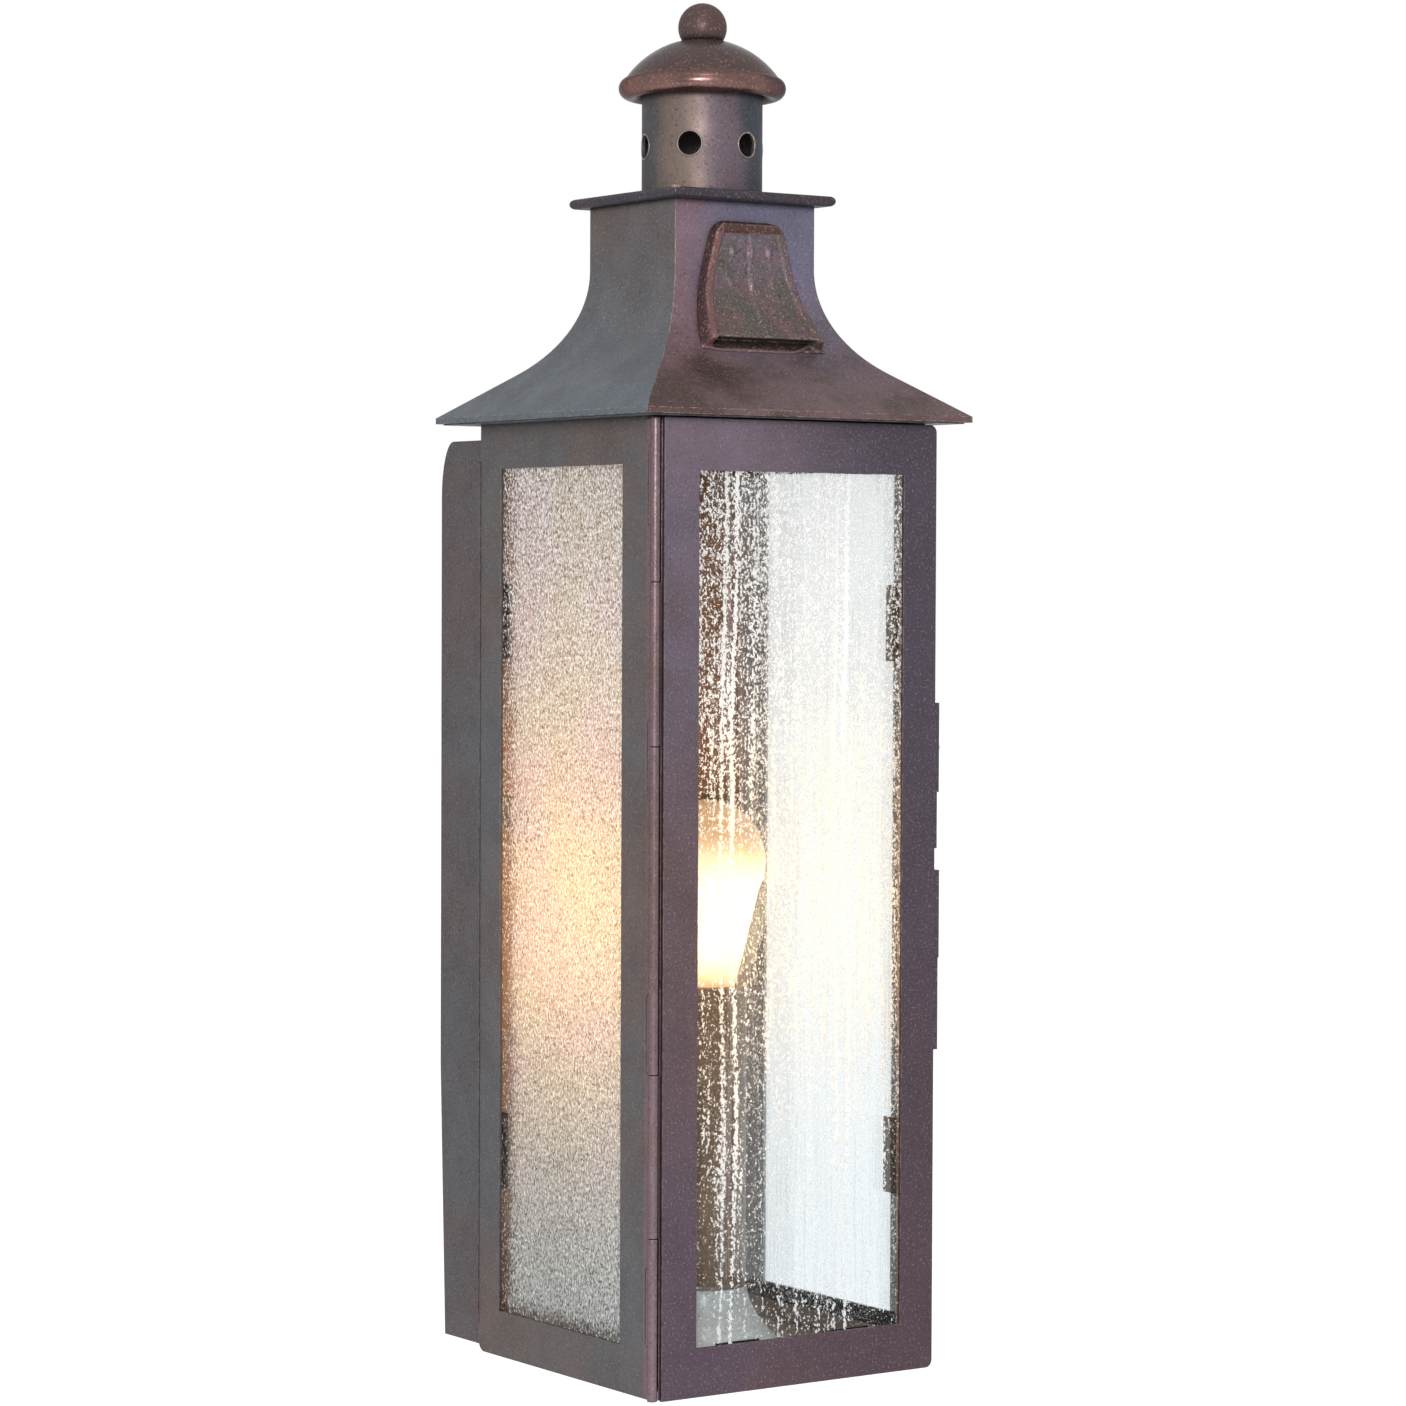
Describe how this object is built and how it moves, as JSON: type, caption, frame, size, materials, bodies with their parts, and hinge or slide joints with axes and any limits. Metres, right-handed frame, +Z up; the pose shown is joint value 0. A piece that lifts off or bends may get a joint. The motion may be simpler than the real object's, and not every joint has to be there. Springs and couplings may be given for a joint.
{
  "type": "outdoor wall lantern",
  "caption": "Rectangular glazed wall lantern with a flared roof, vented stack, domed cap, ball finial and hinged front door.",
  "frame": {"origin": "on the wall plane, midway between the mounting bar's two box screws", "axes": "+Z up, +Y into the wall, -Y out into the open, +X to the right of a person facing the wall"},
  "size_m": [0.1528, 0.167, 0.5357],
  "materials": {
    "panel_bronze": "satin, weathered bronze paint",
    "door_bronze": "satin, weathered bronze paint",
    "roof_bronze": "satin, weathered bronze paint",
    "dormer_bronze": "satin, weathered bronze paint",
    "stack_bronze": "satin, weathered bronze paint",
    "cap_bronze": "satin, dark bronze paint",
    "pan_bronze": "satin, weathered bronze paint",
    "clip_metal": "satin paint over spring steel",
    "hinge_metal": "worn bronze paint",
    "rivet_metal": "worn bronze paint",
    "screw_steel": "zinc plated",
    "cap_nut_brass": "aged brass",
    "ground_green": "green coated",
    "copper_wire": "bare copper",
    "grommet_rubber": "matt",
    "black_insulation": "smooth insulation",
    "white_insulation": "smooth insulation",
    "connector_plastic": "moulded plastic",
    "cover_bronze": "satin paint",
    "sleeve_finish": "satin bronze paint",
    "tube_steel": "threaded steel tube",
    "socket_plastic": "phenolic",
    "socket_brass": "bright brass",
    "seeded_glass": "clear seeded glass",
    "bulb_metal": "rolled aluminium",
    "bulb_frosted": "frosted white glass",
    "mount_metal": "glass stem with wires"
  },
  "bodies": {
    "body": {"left_side_panel": "panel_bronze", "right_side_panel": "panel_bronze", "left_door_stop": "panel_bronze", "right_door_stop": "panel_bronze", "back_panel": "panel_bronze", "floor_plate": "panel_bronze", "top_header": "panel_bronze", "roof_seat": "roof_bronze", "roof_shell": "roof_bronze", "dormer_plate": "dormer_bronze", "roof_top_plate": "roof_bronze", "vent_stack": "stack_bronze", "stack_cap": "cap_bronze", "finial_ball": "cap_bronze", "finial_stud": "screw_steel", "roof_screws": "screw_steel", "left_glass": "seeded_glass", "right_glass": "seeded_glass", "left_glass_clips": "clip_metal", "right_glass_clips": "clip_metal", "hinge_body_leaf": "hinge_metal", "hinge_pin": "hinge_metal", "keeper_stud": "rivet_metal", "wall_pan": "pan_bronze", "mounting_bar": "screw_steel", "mounting_studs": "screw_steel", "stud_lock_nuts": "screw_steel", "cap_nuts": "cap_nut_brass", "ground_screw": "ground_green", "ground_wire": "copper_wire", "wire_grommet": "grommet_rubber", "black_lead": "black_insulation", "white_lead": "white_insulation", "wire_connectors": "connector_plastic", "wire_cover": "cover_bronze", "candle_sleeve": "sleeve_finish", "sleeve_cup": "cover_bronze", "socket_tube": "tube_steel", "tube_nuts": "screw_steel", "socket_body": "socket_plastic", "socket_shell": "socket_brass", "socket_contact": "socket_brass"},
    "door": {"door_frame": "door_bronze", "front_glass": "seeded_glass", "door_glass_clips": "clip_metal", "hinge_door_leaf": "hinge_metal", "door_pull": "door_bronze", "pull_rivets": "rivet_metal", "latch_rivet": "rivet_metal"},
    "latch": {"latch_hook": "door_bronze"},
    "bulb": {"bulb_base": "bulb_metal", "bulb_contact": "bulb_metal", "bulb_glass": "bulb_frosted", "bulb_mount": "mount_metal"}
  },
  "joints": [
    {"name": "door_swing", "type": "hinge", "parent": "body", "child": "door", "pos_m": [-0.0657, -0.1568, 0], "axis": [0, 0, -1], "range_deg": [0, 180]},
    {"name": "latch_turn", "type": "hinge", "parent": "door", "child": "latch", "pos_m": [0.0653, -0.155, 0.0315], "axis": [1, 0, 0], "range_deg": [-90, 22]},
    {"name": "bulb_lift", "type": "slide", "parent": "body", "child": "bulb", "axis": [0, 0, 1], "range_m": [0, 0.045]}
  ]
}
